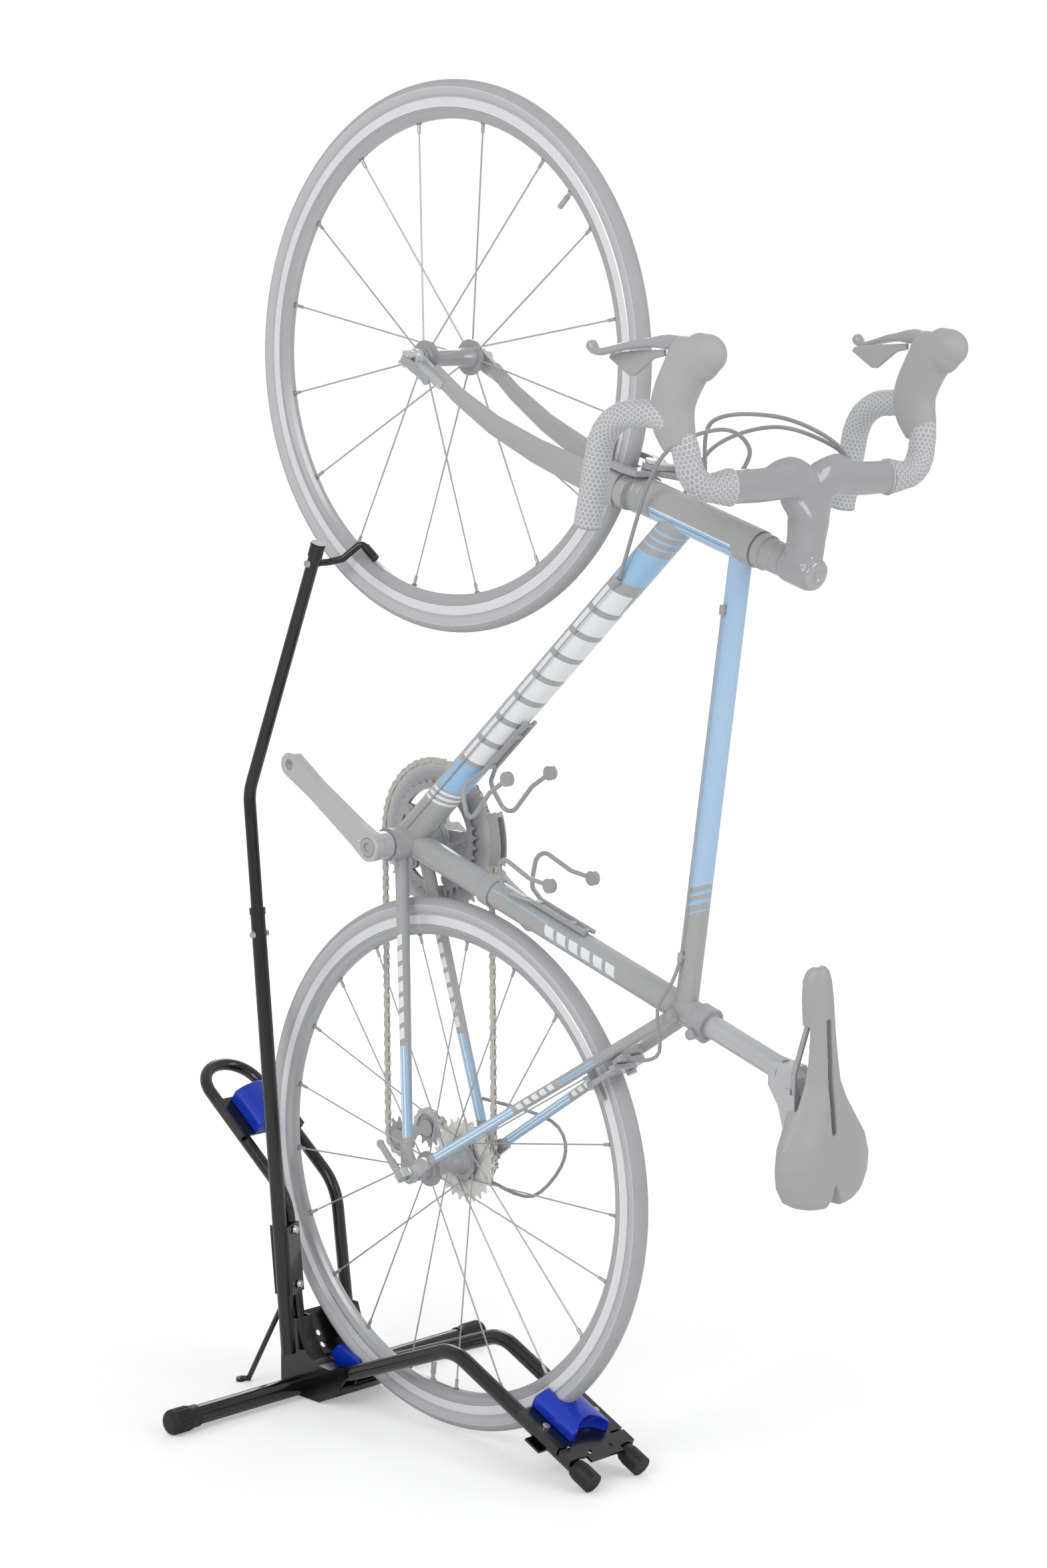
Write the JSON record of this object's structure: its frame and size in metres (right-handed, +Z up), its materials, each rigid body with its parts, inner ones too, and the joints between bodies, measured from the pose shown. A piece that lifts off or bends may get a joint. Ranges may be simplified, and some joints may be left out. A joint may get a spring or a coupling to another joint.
{
  "type": "bicycle on stand",
  "caption": "Road bicycle stored upright on its rear wheel in a black tubular floor stand with a mast hook, blue wheel cradles and a prop leg.",
  "frame": {"origin": "on the floor, under the middle of the whole object's bounding box", "axes": "+Z up, +X from the stand's mast towards the saddle, +Y from the bicycle's left side to its drive side"},
  "size_m": [1.091, 0.54, 1.6722],
  "materials": {
    "stand_paint": "satin",
    "cap_plastic": "matt",
    "cradle_blue": "gloss",
    "zinc": "satin",
    "frame_paint": "satin",
    "parts_grey": "satin",
    "alloy": "satin",
    "steel": "satin",
    "tyre_grey": "matt",
    "tape_grey": "matt",
    "saddle_grey": "satin",
    "housing_grey": "matt"
  },
  "bodies": {
    "stand_and_frame": {"base_bracket": "stand_paint", "cross_tube": "stand_paint", "stand_caps": "cap_plastic", "front_legs": "stand_paint", "bridge_plates": "stand_paint", "wheel_cradles": "cradle_blue", "rear_loop": "stand_paint", "mast_foot": "stand_paint", "clamp_plates": "stand_paint", "mast_top": "stand_paint", "hook": "stand_paint", "stand_bolts": "zinc", "head_tube": "frame_paint", "top_tube": "frame_paint", "down_tube": "frame_paint", "seat_tube": "frame_paint", "rear_stays": "frame_paint", "frame_bearings": "parts_grey", "frame_fittings": "parts_grey", "rear_axle": "alloy", "chain": "steel", "derailleurs": "parts_grey", "bottle_cages": "alloy", "rear_housings": "housing_grey"},
    "steering": {"fork_crown": "frame_paint", "fork_blades": "frame_paint", "fork_fittings": "alloy", "handlebar_stem": "parts_grey", "handlebar": "parts_grey", "bar_tape": "tape_grey", "lever_hoods": "tape_grey", "front_axle": "alloy", "front_cables": "housing_grey"},
    "front_wheel": {"front_rim": "alloy", "front_tyre": "tyre_grey", "front_spokes": "steel", "front_hub": "parts_grey"},
    "rear_wheel": {"rear_rim": "alloy", "rear_tyre": "tyre_grey", "rear_spokes": "steel", "rear_hub": "parts_grey"},
    "sprockets": {"cassette": "steel"},
    "cranks": {"chainrings": "steel", "crank_arms": "parts_grey"},
    "guide_wheel": {"guide_pulley": "parts_grey"},
    "tension_wheel": {"tension_pulley": "parts_grey"},
    "left_brake_lever": {"brake_lever_left": "parts_grey"},
    "right_brake_lever": {"brake_lever_right": "parts_grey"},
    "left_paddle": {"shift_paddle_left": "parts_grey"},
    "right_paddle": {"shift_paddle_right": "parts_grey"},
    "front_arm_left": {"front_brake_arm_left": "parts_grey"},
    "front_arm_right": {"front_brake_arm_right": "parts_grey"},
    "rear_arm_left": {"rear_brake_arm_left": "parts_grey"},
    "rear_arm_right": {"rear_brake_arm_right": "parts_grey"},
    "seat": {"seatpost": "parts_grey", "saddle_rails": "steel", "saddle": "saddle_grey"},
    "front_quick_release": {"front_skewer_lever": "alloy"},
    "rear_quick_release": {"rear_skewer_lever": "alloy"}
  },
  "joints": [
    {"name": "steering_turn", "type": "hinge", "parent": "stand_and_frame", "child": "steering", "pos_m": [0.32904, 0, 1.1595], "axis": [0.9588, 0, -0.284], "range_deg": [-1, 1], "deforming": ["front_cables"]},
    {"name": "front_wheel_spin", "type": "hinge", "parent": "steering", "child": "front_wheel", "pos_m": [-0.0915, 0, 1.3383], "axis": [0, 1, 0], "range_deg": [-0.5, 11]},
    {"name": "rear_wheel_spin", "type": "hinge", "parent": "stand_and_frame", "child": "rear_wheel", "pos_m": [-0.0915, 0, 0.3396], "axis": [0, 1, 0], "continuous": true},
    {"name": "crank_spin", "type": "hinge", "parent": "stand_and_frame", "child": "cranks", "pos_m": [-0.1595, 0, 0.73784], "axis": [0, 1, 0], "continuous": true, "deforming": ["chain"]},
    {"name": "cassette_spin", "type": "hinge", "parent": "stand_and_frame", "child": "sprockets", "pos_m": [-0.0915, 0, 0.3396], "axis": [0, 1, 0], "continuous": true},
    {"name": "guide_pulley_spin", "type": "hinge", "parent": "stand_and_frame", "child": "guide_wheel", "pos_m": [-0.1775, 0.0445, 0.362], "axis": [0, 1, 0], "continuous": true},
    {"name": "tension_pulley_spin", "type": "hinge", "parent": "stand_and_frame", "child": "tension_wheel", "pos_m": [-0.2307, 0.0445, 0.34153], "axis": [0, 1, 0], "continuous": true},
    {"name": "brake_lever_left_pull", "type": "hinge", "parent": "steering", "child": "left_brake_lever", "pos_m": [0.47045, -0.203, 1.36322], "axis": [0, -1, 0], "range_deg": [0, 15], "stiffness_Nm_per_rad": 0.6},
    {"name": "shift_paddle_left_sweep", "type": "hinge", "parent": "left_brake_lever", "child": "left_paddle", "pos_m": [0.45145, -0.203, 1.34822], "axis": [0, 0, -1], "range_deg": [0, 9], "stiffness_Nm_per_rad": 0.3},
    {"name": "brake_lever_right_pull", "type": "hinge", "parent": "steering", "child": "right_brake_lever", "pos_m": [0.47045, 0.203, 1.36322], "axis": [0, -1, 0], "range_deg": [0, 15], "stiffness_Nm_per_rad": 0.6},
    {"name": "shift_paddle_right_sweep", "type": "hinge", "parent": "right_brake_lever", "child": "right_paddle", "pos_m": [0.45145, 0.203, 1.34822], "axis": [0, 0, 1], "range_deg": [0, 9], "stiffness_Nm_per_rad": 0.3},
    {"name": "front_brake_left_close", "type": "hinge", "parent": "steering", "child": "front_arm_left", "pos_m": [0.24093, 0, 1.21063], "axis": [-0.284, 0, -0.9588], "range_deg": [0, 2.1]},
    {"name": "front_brake_right_close", "type": "hinge", "parent": "steering", "child": "front_arm_right", "pos_m": [0.24093, 0, 1.21063], "axis": [0.284, 0, 0.9588], "range_deg": [0, 2.1]},
    {"name": "rear_brake_left_close", "type": "hinge", "parent": "stand_and_frame", "child": "rear_arm_left", "pos_m": [0.20503, 0, 0.52871], "axis": [0.5377, 0, -0.8431], "range_deg": [0, 2.1]},
    {"name": "rear_brake_right_close", "type": "hinge", "parent": "stand_and_frame", "child": "rear_arm_right", "pos_m": [0.20503, 0, 0.52871], "axis": [-0.5377, 0, 0.8431], "range_deg": [0, 2.1]},
    {"name": "seatpost_slide", "type": "slide", "parent": "stand_and_frame", "child": "seat", "axis": [0.9553, 0, -0.2957], "range_m": [-0.06, 0]},
    {"name": "front_quick_release_open", "type": "hinge", "parent": "steering", "child": "front_quick_release", "pos_m": [-0.0915, -0.0695, 1.3383], "axis": [-0.5446, 0, -0.8387], "range_deg": [0, 90]},
    {"name": "rear_quick_release_open", "type": "hinge", "parent": "stand_and_frame", "child": "rear_quick_release", "pos_m": [-0.0915, -0.081, 0.3396], "axis": [0.682, 0, 0.7314], "range_deg": [0, 90]}
  ],
  "couplings": [
    {"joint": "cassette_spin", "follows": "crank_spin", "ratio": 3},
    {"joint": "tension_pulley_spin", "follows": "crank_spin", "ratio": 4.3636},
    {"joint": "guide_pulley_spin", "follows": "crank_spin", "ratio": -4.3636},
    {"joint": "front_brake_left_close", "follows": "brake_lever_left_pull", "ratio": 0.14},
    {"joint": "front_brake_right_close", "follows": "brake_lever_left_pull", "ratio": 0.14},
    {"joint": "rear_brake_left_close", "follows": "brake_lever_right_pull", "ratio": 0.14},
    {"joint": "rear_brake_right_close", "follows": "brake_lever_right_pull", "ratio": 0.14}
  ]
}
